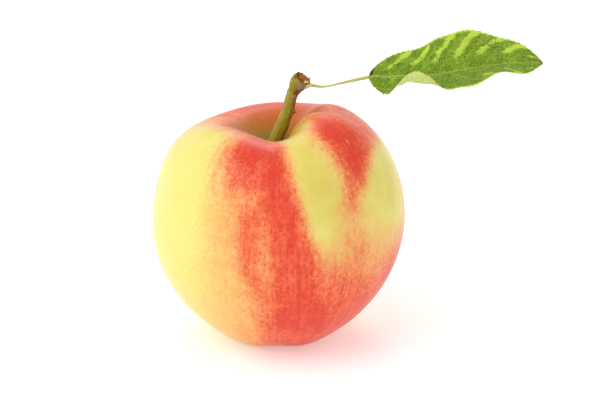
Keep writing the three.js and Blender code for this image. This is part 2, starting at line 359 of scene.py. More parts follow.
def smoothly(stations, place):
    """Cubic Hermite curve through stations (place, value, ...): the values at each place, last axis."""
    table = np.asarray(stations, float)
    knots, values = table[:, 0], table[:, 1:]
    slopes = np.gradient(values, knots, axis=0)
    i = np.clip(np.searchsorted(knots, place) - 1, 0, len(knots) - 2)
    gap = (knots[i + 1] - knots[i])[..., None]
    t = np.clip((np.asarray(place) - knots[i])[..., None] / gap, 0, 1)
    rise = 3 * t**2 - 2 * t**3
    leave, arrive = t * (1 - t) ** 2, t**2 * (t - 1)
    bend = gap * (leave * slopes[i] + arrive * slopes[i + 1])
    return values[i] + rise * (values[i + 1] - values[i]) + bend


def unit(vectors):
    """Vectors scaled to length 1."""
    return vectors / np.linalg.norm(vectors, axis=-1, keepdims=True)


def along_route(points, t):
    """Centre and forward direction at share t of the length of a smooth curve through (x, z) in mm."""
    points = np.asarray(points, float)
    steps = np.hypot(*np.diff(points, axis=0).T)
    shares = np.concatenate([[0], np.cumsum(steps)]) / steps.sum()
    table = np.column_stack([shares, points * MM])
    near, far = np.clip(t - 0.005, 0, 0.99), np.clip(t + 0.005, 0.01, 1)
    flat = np.array([[1, 0, 0], [0, 0, 1]])
    return smoothly(table, t) @ flat, unit((smoothly(table, far) - smoothly(table, near)) @ flat)


def ripples(points, size, seed, waves=24):
    """Sum of plane sine waves of random direction and phase, about size long: a soft noise."""
    random = np.random.default_rng(seed)
    pitch = unit(random.normal(size=(waves, 3))) * TURN / (size * random.uniform(0.7, 1.5, (waves, 1)))
    phase = random.uniform(0, TURN, waves)
    return np.sin(points @ pitch.T + phase).sum(-1) / math.sqrt(waves)


# ---- Surfaces ----------------------------------------------------


def painted(strokes, polar, azimuth):
    """Strength of brush strokes, each fading to its sides: 1 - product(1 - stroke)."""
    bare = np.ones_like(polar)
    for stations in strokes.values():
        centre, half, strength = np.moveaxis(smoothly(stations, np.degrees(polar)), -1, 0)
        across = np.abs((np.degrees(azimuth) - centre + 180) % 360 - 180) / half
        bare = bare * (1 - np.clip(strength, 0, 1) * (1 - ease(across, *STROKE_FADE)))
    return 1 - bare


def skin(polar, azimuth, fruit):
    """The fruit's skin.

    Radius is R sin^p(polar) (1 + taper cos(polar) + fuller shoulders), with p easing from the base's
    power to the shoulders', and height is H cos(polar). The stem cavity takes off
    D exp(-(radius / reach)^1.5), where reach and a rim height change with azimuth by bell curves.
    The calyx basin and its five-lobed crown are added underneath in the same way.
    """
    rise = np.cos(polar)
    power = fruit.base_power + (fruit.shoulder_power - fruit.base_power) * ease(rise, -0.4, 0.7)
    girth = 1 + fruit.taper * rise
    for centre, spread, swelling, height, reach in SHOULDERS:
        fuller = swelling * bell(azimuth, centre, spread)
        girth = girth + fuller * np.exp(-(((rise - height) / reach) ** 2))
    radius = fruit.radius * np.clip(np.sin(polar), 0, 1) ** power * girth
    rim = RIM_TILT * np.cos(azimuth)
    width = 1 - CAVITY_SHIFT * np.cos(azimuth)
    for centre, height, spread, narrowing in RIM_LOBES:
        swelling = bell(azimuth, centre, spread)
        rim = rim + height * MM * swelling
        width = width - narrowing * swelling
    cavity = np.exp(-((radius / (fruit.cavity_radius * width)) ** CAVITY_POWER))
    basin = np.exp(-((radius / fruit.basin_radius) ** BASIN_POWER))
    crown = 0.5 - 0.5 * np.cos(CROWN["count"] * (azimuth - math.radians(CROWN["turn"])))
    z = fruit.half_height * rise
    z = z + rim * (1 - cavity) * ease(rise, 0.35, 0.95)
    z = z - fruit.cavity_depth * cavity * ease(rise, 0, 0.3)
    z = z + fruit.basin_depth * basin * ease(-rise, 0, 0.3)
    z = z + fruit.crown_depth * crown * (1 - basin) * ease(-rise, 0.6, 0.95)
    return np.stack([radius * np.cos(azimuth), radius * np.sin(azimuth), z], -1)


def crowded(t):
    """Polar angle from pi at t = 0 to 0 at t = 1, with its steps drawn together near the poles."""
    polar = np.pi * (1 - t)
    return polar - 0.25 * np.sin(2 * polar)


def fruit_surface(t, s, fruit):
    """The skin with soft dents a fifth of a millimetre deep, faint creases down into the cavity,
    and each point lower than the feet raised to their level."""
    polar, azimuth = crowded(t), TURN * s
    points = skin(polar, azimuth, fruit)
    outward = unit(points * [1, 1, 0.6])
    away = np.hypot(points[..., 0], points[..., 1])
    dents = 0.16 * MM * ripples(points, 24 * MM, 3) * ease(away, 4 * MM, 12 * MM)
    creases = 0.03 * MM * np.sin(17 * azimuth + 3 * np.sin(3 * azimuth))
    creases = creases + 0.02 * MM * np.sin(31 * azimuth)
    in_cavity = ease(-polar, -0.42, -0.2) * ease(away, 1.5 * MM, 4 * MM)
    points = points + outward * (dents + creases * in_cavity)[..., None]
    points[..., 2] = np.maximum(points[..., 2], foot_level(fruit))
    return points


def foot_level(fruit):
    """Height in the fruit's frame of the surface that it stands on."""
    polar, azimuth = np.meshgrid(np.linspace(2.2, np.pi, 400), np.linspace(0, TURN, 361))
    return skin(polar, azimuth, fruit)[..., 2].min() + fruit.foot_depth


def rod(route, radius, t, s):
    """Points of a rod: the centre of the route at t, plus radius times (side cos + up sin) of 2 pi s,
    where side is +Y and up is square to it and to the route. Also each point's outward direction."""
    centre, forward = along_route(route, t)
    side = np.broadcast_to([0.0, 1.0, 0.0], forward.shape)
    up = np.cross(forward, side)
    outward = side * np.cos(TURN * s)[..., None] + up * np.sin(TURN * s)[..., None]
    return centre + outward * radius[..., None], outward


def stem_surface(t, s, stem):
    """A rod with fine ribs along it, soft lumps, and one nub on the +X side."""
    radius = smoothly(STEM_RADII, t)[..., 0] * MM
    angle = TURN * s
    ribs = 0.05 * np.sin(9 * angle + 3 * t) + 0.035 * np.sin(16 * angle - 5 * t + 1)
    radius = radius + ribs * MM * ease(t, 0.02, 0.2)
    nub = np.exp(-(((t - STEM_NUB["along"]) / STEM_NUB["spread"]) ** 2))
    nub = nub * np.clip(-np.sin(angle), 0, 1) ** 9
    points, outward = rod(STEM_ROUTE, radius + stem.nub_height * nub, t, s)
    lumps = 0.05 * ripples(points, 3.5 * MM, 5) + 0.02 * ripples(points, 1.1 * MM, 6)
    return points + outward * (lumps * MM)[..., None]


def stub_shares(t):
    """Share of the way along the stub's side, and share of the way in across its face."""
    return np.clip(t / FACE_START, 0, 1), np.clip((t - FACE_START) / (1 - FACE_START), 0, 1)


def stub_surface(t, s, stem):
    """The stub: up to FACE_START a widening rod whose sections turn from square to the route to the
    torn face, then the face itself, whose radius shrinks and whose depth follows a shallow bowl with
    ridges of torn fibre."""
    along, inward = stub_shares(t)
    centre, forward = along_route(STUB_ROUTE, along)
    face = unit(np.array(STUB_FACE))
    normal = unit(forward * (1 - ease(along, 0, 1))[..., None] + face * ease(along, 0, 1)[..., None])
    across = unit(np.cross(np.broadcast_to([0.0, 1.0, 0.0], normal.shape), normal))
    beside = np.cross(normal, across)
    angle = TURN * s
    radius = smoothly(STUB_RADII, along)[..., 0] * MM
    reach = 1 - inward
    outward = across * np.cos(angle)[..., None] + beside * np.sin(angle)[..., None]
    points = centre + outward * (radius * reach)[..., None]
    wrinkles = 0.13 * ripples(points * [1, 1, 0.6], 1.6 * MM, 8) + 0.07 * ripples(points, 0.6 * MM, 9)
    edge = 0.22 * np.sin(3 * angle + 1) + 0.16 * np.sin(5 * angle) + 0.1 * np.sin(11 * angle + 2)
    points = points + outward * (wrinkles * MM * (1 - inward))[..., None]
    lip = edge * MM * np.exp(-(((t - FACE_START) / 0.09) ** 2))
    bowl = stem.hollow * (1 - reach**2) * ease(inward, 0, 0.25)
    fibres = 0.2 * ripples(points * [1, 1, 0.1], 0.9 * MM, 10) + 0.1 * np.sin(14 * angle + 6 * reach)
    return points + normal * (lip - bowl + fibres * MM * ease(inward, 0.02, 0.25))[..., None]


def blade_half_width(u, leaf):
    """Half width of the blade: W sin(pi u^1.1)^q, with q growing from a blunt base to a sharper tip."""
    arch = np.clip(np.sin(np.pi * np.clip(u, 0, 1) ** 1.1), 0, 1)
    width = leaf.half_width * arch ** (0.5 + 0.25 * u)
    return np.maximum(width, 0.3 * MM)


def vein_phase(u, v, leaf):
    """Counts side veins: whole numbers lie on veins, which leave the rib at u and bend towards the
    tip as 0.2 |v|^1.25. The near half's veins start half a step on."""
    return (u - 0.2 * np.abs(v) ** 1.25) * leaf.veins + np.where(v < 0, 0.5, 0)


def blade_ring(count):
    """Once round a blade's section: v from the far margin 1 to the near one -1 on the upper side, then
    back on the lower one, and +1 or -1 for the side."""
    step = np.arange(count) / count
    upper = step <= 0.5
    v = np.where(upper, 1 - 4 * step, 4 * step - 3)
    side = np.where(upper, 1.0, -1.0)
    side[[0, count // 2]] = 0
    return v, side


def blade_section(u, v, leaf):
    """Offsets from the rib, outwards and upwards, and the slope there: an arc whose slope is
    a + b |v|^2, with a and b from the stations of its half, summed from the rib."""
    steps = np.linspace(0, 1, SECTION_STEPS + 1)
    offsets = []
    for stations in (FAR_HALF, NEAR_HALF):
        start, gain = np.moveaxis(smoothly(stations, u[:, 0]), -1, 0)
        slope = np.radians(start[:, None] + gain[:, None] * steps**2)
        zero = 0 * slope[:, :1]
        run = np.concatenate([zero, np.cumsum(np.cos(slope[:, 1:]), 1)], 1) / SECTION_STEPS
        rise = np.concatenate([zero, np.cumsum(np.sin(slope[:, 1:]), 1)], 1) / SECTION_STEPS
        place = np.abs(v) * SECTION_STEPS
        low = np.clip(place.astype(int), 0, SECTION_STEPS - 1)
        part = place - low
        row = np.arange(len(u))[:, None]
        offsets.append([a[row, low] * (1 - part) + a[row, low + 1] * part for a in (run, rise, slope)])
    far, near = offsets
    return [np.where(v >= 0, a, b) for a, b in zip(far, near)]


def leaf_surface(rows, count, leaf):
    """The leaf: rings of a thin round stalk, then rings of the blade.

    A blade's ring runs out along the section's arc, with teeth that deepen to the margin, and has the
    thickness t (1 - v^8)^0.5 plus the rib's bell; the surface is quilted between the side veins.
    Also gives, for each point, how far it is along the blade, across it, and which side it is on.
    """
    stalk_rows = rows // 6
    t = np.linspace(0, 1, stalk_rows, endpoint=False)[:, None] + np.zeros(count)
    s = np.arange(count) / count + 0 * t
    radius = smoothly(STALK_RADII, t)[..., 0] * leaf.stalk_radius
    stalk, _ = rod(STALK_ROUTE, radius, t, s)

    u = np.linspace(0, 1, rows - stalk_rows)[:, None] + np.zeros(count)
    v, side = blade_ring(count)
    v, side = v + 0 * u, side + 0 * u
    half = blade_half_width(u, leaf)
    saw = (u * leaf.teeth + 0.13 * np.sin(23 * u)) % 1
    tooth = 0.55 * MM * (1 - saw) * ease(half, 1 * MM, 4 * MM)
    half = half - tooth * np.abs(v) ** 10
    run, rise, slope = blade_section(u, v, leaf)
    centre, forward = along_route(RIB_ROUTE, u)
    outward = np.array([0.0, 1.0, 0.0])
    upward = np.cross(forward, outward)
    wave = 0.5 * MM * np.abs(v) ** 2 * np.sin(TURN * (3.3 * u + 0.25 * np.sign(v)))
    wave = wave * ease(u, 0.4, 0.6)
    phase = vein_phase(u, v, leaf)
    quilt = 0.42 * MM * (np.sin(np.pi * phase) ** 2) ** 0.6 * ease(np.abs(v), 0.02, 0.3)
    quilt = quilt * (1 - np.abs(v) ** 3) * ease(half, 2 * MM, 7 * MM)
    lean = -np.sign(v) * slope * ease(np.abs(v), 0, 0.15)
    middle = centre + outward * (np.sign(v) * half * run)[..., None]
    middle = middle + upward * (half * rise + wave)[..., None]
    bell_rib = np.exp(-((v * half / (0.55 * MM)) ** 2))
    thin = 0.5 * (leaf.thickness + (leaf.rib_thickness - leaf.thickness) * bell_rib * (1 - 0.75 * u))
    crease = 0.35 * MM * np.exp(-((v * half / (0.9 * MM)) ** 2)) * (1 - 0.5 * u)
    height = side * thin * np.sqrt(np.clip(1 - v**8, 0, 1)) + quilt - crease * ease(u, 0.02, 0.1)
    normal = upward * np.cos(lean)[..., None] + outward * np.sin(lean)[..., None]
    blade = middle + normal * height[..., None]

    pale = ease(v, 0.2, 0.45) * ease(u, 0.04, 0.12) + 0.8 * ease(-v, 0.3, 0.6) * ease(u, 0.55, 0.7)
    spot = np.exp(-(((u - 0.012) / 0.018) ** 2) - ((v - 0.5) / 0.45) ** 2) * (side > -1)
    layers = {
        "along": ((t - 1) * STALK_LENGTH, u * BLADE_LENGTH),
        "across": (0 * s, v * half / MM),
        "margin": (0 * s, v),
        "upper": (0 * s + 0.5, 0.5 + 0.5 * side),
        "vein": (0 * s, phase),
        "pale": (0 * s, pale),
        "spot": (0 * s, spot),
    }
    joined = {name: np.concatenate(values) for name, values in layers.items()}
    return np.concatenate([stalk, blade]), joined


def sepal_surface(t, s, azimuth, height):
    """A sepal: a strip along its route, its width tapering to the tip, cupped by 0.35 |v|^2, with a
    crinkle along its edges, turned to its azimuth."""
    centre, forward = along_route(SEPAL_ROUTE, t)
    half = smoothly(SEPAL_WIDTHS, t)[..., 0] * MM
    v = np.cos(TURN * s)
    thick = 0.13 * MM * np.sin(TURN * s)
    cup = 0.35 * half * v**2 + 0.12 * MM * np.sin(9 * t + 4 * v) * v**2
    inward = np.cross(forward, [0.0, 1.0, 0.0])
    points = centre + np.stack([0 * v, v * half, 0 * v], -1) + inward * (thick + cup)[..., None]
    points[..., 2] += height
    a = math.radians(azimuth)
    turned = [[math.cos(a), math.sin(a), 0], [-math.sin(a), math.cos(a), 0], [0, 0, 1]]
    return points @ np.array(turned)


def thread_surface(t, s, root, tip, bow):
    """A stamen: a thread from root to tip with a sideways bow of sin(pi t), swollen at its end."""
    centre = root + (tip - root) * t[..., None] + bow * np.sin(np.pi * t)[..., None]
    radius = 0.09 * MM + 0.17 * MM * np.exp(-(((t - 0.93) / 0.05) ** 2))
    circle = np.stack([np.cos(TURN * s), -np.sin(TURN * s), 0 * s], -1)
    return centre + circle * radius[..., None]


# ---- Meshes ------------------------------------------------------


def grid(rows, columns):
    """Parameters t from 0 to 1 down the rows, and s once round each row."""
    return np.meshgrid(np.linspace(0, 1, rows), np.arange(columns) / columns, indexing="ij")


def closed_loft(rings, layers=None):
    """Vertices, faces and layers of rings of points that run forwards, each anticlockwise as seen
    from ahead, closed by a fan at either end."""
    rows, columns = rings.shape[:2]
    i, j = np.meshgrid(np.arange(rows - 1), np.arange(columns), indexing="ij")
    k = (j + 1) % columns
    here, ahead = i * columns, (i + 1) * columns
    quads = np.stack([here + j, here + k, ahead + k, ahead + j], -1)
    first, last = rows * columns, rows * columns + 1
    j, k = j[0], k[0]
    start = np.stack([first + 0 * j, k, j], -1)
    end = np.stack([last + 0 * j, (rows - 1) * columns + j, (rows - 1) * columns + k], -1)
    points = np.concatenate([rings.reshape(-1, 3), rings[[0, -1]].mean(1)])
    faces = quads.reshape(-1, 4).tolist() + start.tolist() + end.tolist()
    filled = {}
    for name, values in (layers or {}).items():
        flat = values.reshape(rows * columns, *values.shape[2:])
        filled[name] = np.concatenate([flat, values[[0, -1]].mean(1)])
    return points, faces, filled


def fruit_middle():
    """The fruit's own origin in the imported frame."""
    low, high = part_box("fruit")
    up = -foot_level(bpy.context.scene.apple_fruit)
    return np.array([(low.x + high.x) / 2, (low.y + high.y) / 2, up])


def make_piece(name, parts, material, nodes):
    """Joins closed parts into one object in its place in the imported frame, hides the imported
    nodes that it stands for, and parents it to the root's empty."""
    old = bpy.data.objects.get(name)
    if old:
        bpy.data.objects.remove(old)
    points, faces, start = [], [], 0
    for part_points, part_faces, _ in parts:
        points.append(part_points)
        faces += [[start + index for index in face] for face in part_faces]
        start += len(part_points)
    mesh = bpy.data.meshes.new(name)
    mesh.from_pydata((np.concatenate(points) + fruit_middle()).tolist(), [], faces)
    for layer in parts[0][2]:
        values = np.concatenate([part[2][layer] for part in parts]).astype(np.float32)
        kind, key = ("FLOAT", "value") if values.ndim == 1 else ("FLOAT_VECTOR", "vector")
        mesh.attributes.new(layer, kind, "POINT").data.foreach_set(key, values.ravel())
    mesh.shade_smooth()
    mesh.materials.append(material)
    piece = bpy.data.objects.new(name, mesh)
    bpy.context.scene.collection.objects.link(piece)
    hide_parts(*nodes)
    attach(piece, "root")


# ---- Shader maths ------------------------------------------------


class Socket:
    """An output socket of a material's nodes. Arithmetic on it adds Math nodes."""

    def __init__(self, tree, socket=None):
        self.tree = tree
        self.socket = socket

    def node(self, kind, settings=None, inputs=None, output=0):
        """Adds a node of that kind, sets its settings, then its sockets' values or links, and gives
        one of its outputs."""
        node = self.tree.nodes.new(kind)
        for name, value in (settings or {}).items():
            if name == "stops":
                set_stops(node.color_ramp.elements, value)
            else:
                setattr(node, name, value)
        for name, value in (inputs or {}).items():
            if isinstance(value, Socket):
                self.tree.links.new(value.socket, node.inputs[name])
            else:
                node.inputs[name].default_value = value
        return Socket(self.tree, node.outputs[output]) if node.outputs else None

    def maths(self, operation, *values):
        """A Math node on up to three values."""
        return self.node("ShaderNodeMath", {"operation": operation}, dict(enumerate(values)))

    def __add__(self, other):
        return self.maths("ADD", self, other)

    def __radd__(self, other):
        return self.maths("ADD", other, self)

    def __sub__(self, other):
        return self.maths("SUBTRACT", self, other)

    def __rsub__(self, other):
        return self.maths("SUBTRACT", other, self)

    def __mul__(self, other):
        return self.maths("MULTIPLY", self, other)

    def __rmul__(self, other):
        return self.maths("MULTIPLY", other, self)

    def __truediv__(self, other):
        return self.maths("DIVIDE", self, other)

    def __abs__(self):
        return self.maths("ABSOLUTE", self)

    def ease(self, low, high):
        """0 below low, 1 above high, smooth between; low above high turns it round."""
        if low > high:
            return 1 - self.ease(high, low)
        inputs = {"Value": self, "From Min": low, "From Max": high}
        return self.node("ShaderNodeMapRange", {"interpolation_type": "SMOOTHSTEP"}, inputs)

    def mix(self, first, second):
        """The colour that goes from first to second as this value goes from 0 to 1."""
        settings = {"data_type": "RGBA"}
        return self.node("ShaderNodeMix", settings, {0: self, 6: first, 7: second}, output=2)

    def attribute(self, name, output="Fac"):
        """A number, or with output Vector a vector, that the mesh carries."""
        return self.node("ShaderNodeAttribute", {"attribute_name": name}, output=output)

    def place(self):
        """Object coordinates in millimetres."""
        place = self.node("ShaderNodeTexCoord", output="Object")
        return self.scaled(place, (1 / MM,) * 3)

    def scaled(self, vector, factors):
        """A vector times one factor for each axis."""
        return self.node("ShaderNodeVectorMath", {"operation": "MULTIPLY"}, {0: vector, 1: factors})

    def vector(self, x, y):
        """A vector of two numbers and 0."""
        return self.node("ShaderNodeCombineXYZ", inputs={0: x, 1: y})

    def noise(self, vector, size, detail=2.0, roughness=0.5):
        """Soft noise of about that size, from 0 to 1 with 0.5 in the middle."""
        inputs = {"Vector": vector, "Scale": 1 / size, "Detail": detail, "Roughness": roughness}
        return self.node("ShaderNodeTexNoise", inputs=inputs)

    def cells(self, vector, size, feature="F1"):
        """Voronoi cells of about that size: the distance to the nearest point or edge."""
        inputs = {"Vector": vector, "Scale": 1 / size}
        return self.node("ShaderNodeTexVoronoi", {"feature": feature}, inputs, "Distance")

    def bump(self, height, distance, strength=1.0):
        """A normal from a height in shares of distance."""
        inputs = {"Height": height, "Distance": distance, "Strength": strength}
        return self.node("ShaderNodeBump", inputs=inputs)


def set_stops(elements, stops):
    """Gives a colour ramp its stops: (place, colour) each."""
    while len(elements) < len(stops):
        elements.new(1)
    for element, (place, stop_colour) in zip(elements, stops):
        element.position = place
        element.color = stop_colour


def new_material(name):
    """An empty material and the start of its shader maths."""
    old = bpy.data.materials.get(name)
    if old:
        bpy.data.materials.remove(old)
    material = bpy.data.materials.new(name)
    material.use_nodes = True
    material.node_tree.nodes.clear()
    return material, Socket(material.node_tree)


def finish_surface(shader, inputs):
    """Adds the Principled shader with these inputs, and the material's output."""
    surface = shader.node("ShaderNodeBsdfPrincipled", inputs=inputs, output="BSDF")
    shader.node("ShaderNodeOutputMaterial", inputs={"Surface": surface})


def skin_material(fruit):
    """Waxy skin: yellow ground tinted green and peach, red blush broken into streaks along the
    meridians and into fine specks, a brown and olive cavity that is partly russet and partly
    painted shade, a pale painted sheen on its rim, pale lenticels, dark specks and one corky scar."""
    material, shader = new_material("ripe_skin")
    place = shader.place()
    meridian = shader.attribute("meridian", "Vector")
    blush = shader.attribute("blush")
    broad = shader.noise(shader.scaled(meridian, (1, 1, 0.16)), 3.4, 3) - 0.5
    fine = shader.noise(shader.scaled(meridian, (1, 1, 0.25)), 0.9, 2) - 0.5
    speckle = shader.noise(place, 0.5, 3, 0.6) - 0.5
    mottle = shader.noise(place, 1.3, 2) - 0.5
    cloud = shader.noise(place, 6.0, 2) - 0.5
    unsure = blush * (1 - blush) * 4
    streaks = (broad * 1.6 + fine) * (1 - shader.attribute("hollow")) * 0.3
    red = blush + (streaks + speckle * 0.65 + mottle * 0.5) * (0.2 + 0.5 * unsure)
    lines = shader.noise(shader.scaled(meridian, (1, 1, 0.06)), 1.1, 2) - 0.5
    depth = red + cloud * 0.7 + streaks * 0.7 + lines * 0.6 + speckle * 0.5 + mottle * 0.5

    green = shader.attribute("green") + cloud * 0.7
    ground = green.ease(0.0, 1.0).mix(fruit.yellow, fruit.green_yellow)
    warm = shader.attribute("peach") + blush * 0.9 + speckle * 0.6 + mottle * 0.5 + cloud * 0.5
    ground = (warm.ease(0.0, 1.1) * 0.9).mix(ground, fruit.peach)
    stops = [
        (0.15, (0.84, 0.33, 0.14, 1)), (0.42, (0.84, 0.2, 0.085, 1)),
        (0.7, (0.81, 0.105, 0.042, 1)), (1.0, (0.7, 0.045, 0.018, 1)),
    ]
    reds = shader.node("ShaderNodeValToRGB", {"stops": stops}, {"Fac": depth}, "Color")
    skin_colour = red.ease(-0.05, 0.95).mix(ground, reds)

    # The cavity's browns and olive are partly its own russet and partly painted shade: darker down the
    # hollow and past the rim's crest, lighter at its lit front.
    hollow = shader.attribute("hollow")
    brown = (hollow * (broad + mottle + 1)).ease(0.05, 0.45)
    wall = (shader.attribute("wall") * (broad + mottle + 1)).ease(0.0, 0.7)
    skin_colour = (wall * 0.6).mix(skin_colour, (0.5, 0.13, 0.01, 1))
    skin_colour = (brown * 0.7).mix(skin_colour, (0.4, 0.15, 0.01, 1))
    skin_colour = (hollow + fine * 0.5).ease(0.55, 0.9).mix(skin_colour, fruit.olive)

    # Painted sheen: a pale pink ring along the cavity's rim stands in for the gloss there, and is left
    # off the cavity's wall.
    bloom = shader.attribute("bloom") * (1 - shader.attribute("wall"))
    bloom = bloom * (cloud + mottle + 0.4) * 0.25
    skin_colour = bloom.mix(skin_colour, (0.86, 0.5, 0.36, 1))

    lenticels = shader.cells(shader.scaled(place, (1, 1, 0.9)), 3.4)
    pores = lenticels.ease(0.085, 0.045) * (shader.noise(place, 4.0, 1) - 0.25)
    skin_colour = (pores * 0.9).mix(skin_colour, (0.85, 0.62, 0.3, 1))
    dark_specks = shader.cells(place, 1.9).ease(0.1, 0.05) * (cloud + 0.35)
    skin_colour = (dark_specks * 0.45).mix(skin_colour, (0.42, 0.07, 0.02, 1))
    scar = shader.attribute("scar") + fine
    skin_colour = scar.ease(0.45, 0.75).mix(skin_colour, fruit.russet)

    dimples = shader.noise(place, 1.6, 2) * 0.6 + shader.noise(place, 0.35, 2) * 0.25
    height = dimples + pores * 0.4 - scar.ease(0.3, 0.8) * 0.5
    rough = 0.36 + speckle * 0.12 + hollow.ease(0.2, 0.9) * 0.3 + scar.ease(0.4, 0.8) * 0.2
    finish_surface(shader, {
        "Base Color": skin_colour,
        "Roughness": rough,
        "Normal": shader.bump(height, 0.05 * MM, 0.6),
        "IOR": 1.45,
        "Subsurface Weight": 0.1,
        "Subsurface Radius": (1.0, 0.35, 0.12),
        "Subsurface Scale": 2 * MM,
        "Specular IOR Level": 0.28,
        "Coat Weight": 0.12 - shader.attribute("wall") * 0.12,
        "Coat Roughness": 0.2,
    })
    return material


def rind_material(stem):
    """Olive rind of the stem: a painted highlight of yellow-green on the -X side, which faces the key
    light, and on the +X one an orange-brown that is partly the rind's own tint and partly painted
    shade, with fine grey streaks along it and corky specks."""
    material, shader = new_material("olive_rind")
    place = shader.place()
    along = shader.attribute("along")
    side = shader.attribute("side")
    grain = shader.noise(shader.vector(shader.attribute("around") * 3, along * 12), 0.35, 3) - 0.5
    blotch = shader.noise(place, 2.2, 2) - 0.5
    shade = side + blotch * 0.9 + grain * 0.8
    # shade runs from the lit -X side to the +X side: a painted highlight on the first, an orange-brown
    # that is partly painted shade on the second.
    rind = (shade + 0.8 - along).ease(0.1, -0.9).mix(stem.rind, stem.rind_brown)
    rind = (shade + 0.25 - along * 0.4).ease(0.2, 0.9).mix(rind, stem.rind_highlight)
    rind = (grain * 2 + along.ease(0.3, 1.0) * 0.6).ease(0.45, 1.2).mix(rind, (0.45, 0.38, 0.2, 1))
    specks = shader.cells(shader.scaled(place, (1, 1, 0.6)), 0.9)
    rind = (specks.ease(0.2, 0.08) * (blotch + 0.5)).mix(rind, (0.16, 0.08, 0.02, 1))
    height = grain * 1.4 + specks.ease(0.25, 0.1) * 0.5 + shader.noise(place, 0.25, 2)
    finish_surface(shader, {
        "Base Color": rind,
        "Roughness": 0.5 + grain * 0.4,
        "Normal": shader.bump(height, 0.1 * MM, 0.6),
        "Specular IOR Level": 0.3,
        "Subsurface Weight": 0.05,
        "Subsurface Scale": 0.6 * MM,
    })
    return material


def bark_material(stem):
    """Bark of the spur stub, purple-brown and wrinkled, with a face of torn tan fibres."""
    material, shader = new_material("spur_bark")
    place = shader.place()
    inward = shader.attribute("inward")
    threads = shader.noise(shader.scaled(place, (1, 1, 0.15)), 0.45, 3) - 0.5
    wrinkle = shader.noise(shader.scaled(place, (1, 1, 0.5)), 0.7, 3) - 0.5
    blotch = shader.noise(place, 1.7, 2) - 0.5
    side = shader.attribute("side")
    bark = (blotch * 2 + 0.5).ease(0.1, 0.9).mix(stem.bark, (0.34, 0.2, 0.12, 1))
    bark = (wrinkle * 2.4).ease(0.1, 0.6).mix(bark, (0.1, 0.045, 0.025, 1))
    young = side + blotch * 1.2 - shader.attribute("along") * 0.5 + 0.45
    bark = young.ease(0.0, 0.7).mix(bark, stem.rind)
    bark = ((wrinkle + threads) * 1.5 + side * 0.3).ease(0.35, 0.8).mix(bark, (0.56, 0.52, 0.4, 1))
    torn = (threads * 3 + 0.6).ease(0.1, 0.9).mix((0.16, 0.05, 0.012, 1), stem.fibre)
    torn = (threads * 3 + blotch).ease(0.2, 0.7).mix(torn, (0.78, 0.48, 0.17, 1))
    torn = (inward + wrinkle * 0.3).ease(0.2, 0.05).mix(torn, (0.14, 0.055, 0.02, 1))
    colour_here = (inward + wrinkle * 0.1).ease(0.02, 0.1).mix(bark, torn)
    finish_surface(shader, {
        "Base Color": colour_here,
        "Roughness": 0.72 + wrinkle * 0.3,
        "Normal": shader.bump(wrinkle + threads, 0.25 * MM, 0.9),
        "Specular IOR Level": 0.2,
    })
    return material


def leaf_material(leaf):
    """Leaf: green above with a fine net of veins, side veins on their own phase, a pale rib, lime
    margins and patches between the veins, and painted shade that darkens the near half; pale
    underneath; a cream stalk, a dark tip and a dark spot at the base."""
    material, shader = new_material("leaf_green")
    along = shader.attribute("along")
    across = shader.attribute("across")
    margin = abs(shader.attribute("margin"))
    upper = shader.attribute("upper")
    flat = shader.vector(along, across)
    from_vein = shader.maths("PINGPONG", shader.attribute("vein"), 0.5) * (BLADE_LENGTH / leaf.veins)
    soft = shader.noise(flat, 5.0, 2) - 0.5
    grit = shader.noise(flat, 0.7, 2, 0.6) - 0.5

    net = shader.cells(flat, 1.3, "DISTANCE_TO_EDGE").ease(0.1, 0.02)
    fine_net = shader.cells(flat, 0.5, "DISTANCE_TO_EDGE").ease(0.12, 0.02)
    side_vein = from_vein.ease(0.28, 0.08) * margin.ease(0.95, 0.7)
    rib_width = 0.42 - along * 0.005
    rib = (abs(across) / rib_width).ease(1.1, 0.55)

    # Painted shade: the near half of the upper side is darkened.
    near_half_shade = shader.attribute("margin").ease(0.1, -0.4)
    top = (soft * 2 + grit * 2.4 + 0.5 - near_half_shade * 0.45).ease(0.0, 1.0).mix(leaf.dark, leaf.green)
    between = from_vein.ease(0.8, 3.2) * shader.attribute("pale")
    pale = (between + grit * 1.6 + soft * 2.4).ease(0.4, 1.0)
    top = (pale * 0.9).mix(top, leaf.lime)
    top = (net * 0.4 + fine_net * 0.4 * (1 - net)).mix(top, leaf.lime)
    top = (side_vein * 0.3).mix(top, leaf.lime)
    edge = (margin + grit * 0.08).ease(0.9, 0.975) * along.ease(1, 3)
    top = (edge * 0.95).mix(top, leaf.lime)
    top = (rib * 0.6).mix(top, leaf.stalk)

    low = (soft * 2 + 0.5).ease(0.0, 1.0).mix(leaf.underside, (0.62, 0.74, 0.25, 1))
    low = (side_vein * 0.7 + net * 0.25).mix(low, (0.74, 0.78, 0.38, 1))
    blade = (upper - 0.5).ease(-0.2, 0.2).mix(low, top)
    tip = (along + grit * 3).ease(BLADE_LENGTH - 1.4, BLADE_LENGTH - 0.2)
    blade = (tip * 0.7).mix(blade, (0.13, 0.04, 0.05, 1))
    spot = shader.attribute("spot") + grit * 0.5
    blade = spot.ease(0.35, 0.7).mix(blade, (0.07, 0.035, 0.012, 1))

    from_foot = (along + grit * 4).ease(0.4 - STALK_LENGTH, 2.6 - STALK_LENGTH)
    stalk = from_foot.mix((0.8, 0.7, 0.42, 1), leaf.stalk)
    stalk = (grit * 2 + soft + 0.3).ease(0.1, 0.9).mix(stalk, (0.62, 0.6, 0.22, 1))
    colour_here = (along + grit).ease(-1.2, 0.6).mix(stalk, blade)
    height = grit * 0.3 - net * 0.6 - fine_net * 0.3 + side_vein * (0.6 - 1.6 * upper)
    finish_surface(shader, {
        "Base Color": colour_here,
        "Roughness": 0.52 + grit * 0.25 + (1 - upper) * 0.12,
        "Normal": shader.bump(height, 0.2 * MM, 0.8),
        "Specular IOR Level": 0.12,
        "Subsurface Weight": 0.05,
        "Subsurface Scale": 0.5 * MM,
    })
    return material


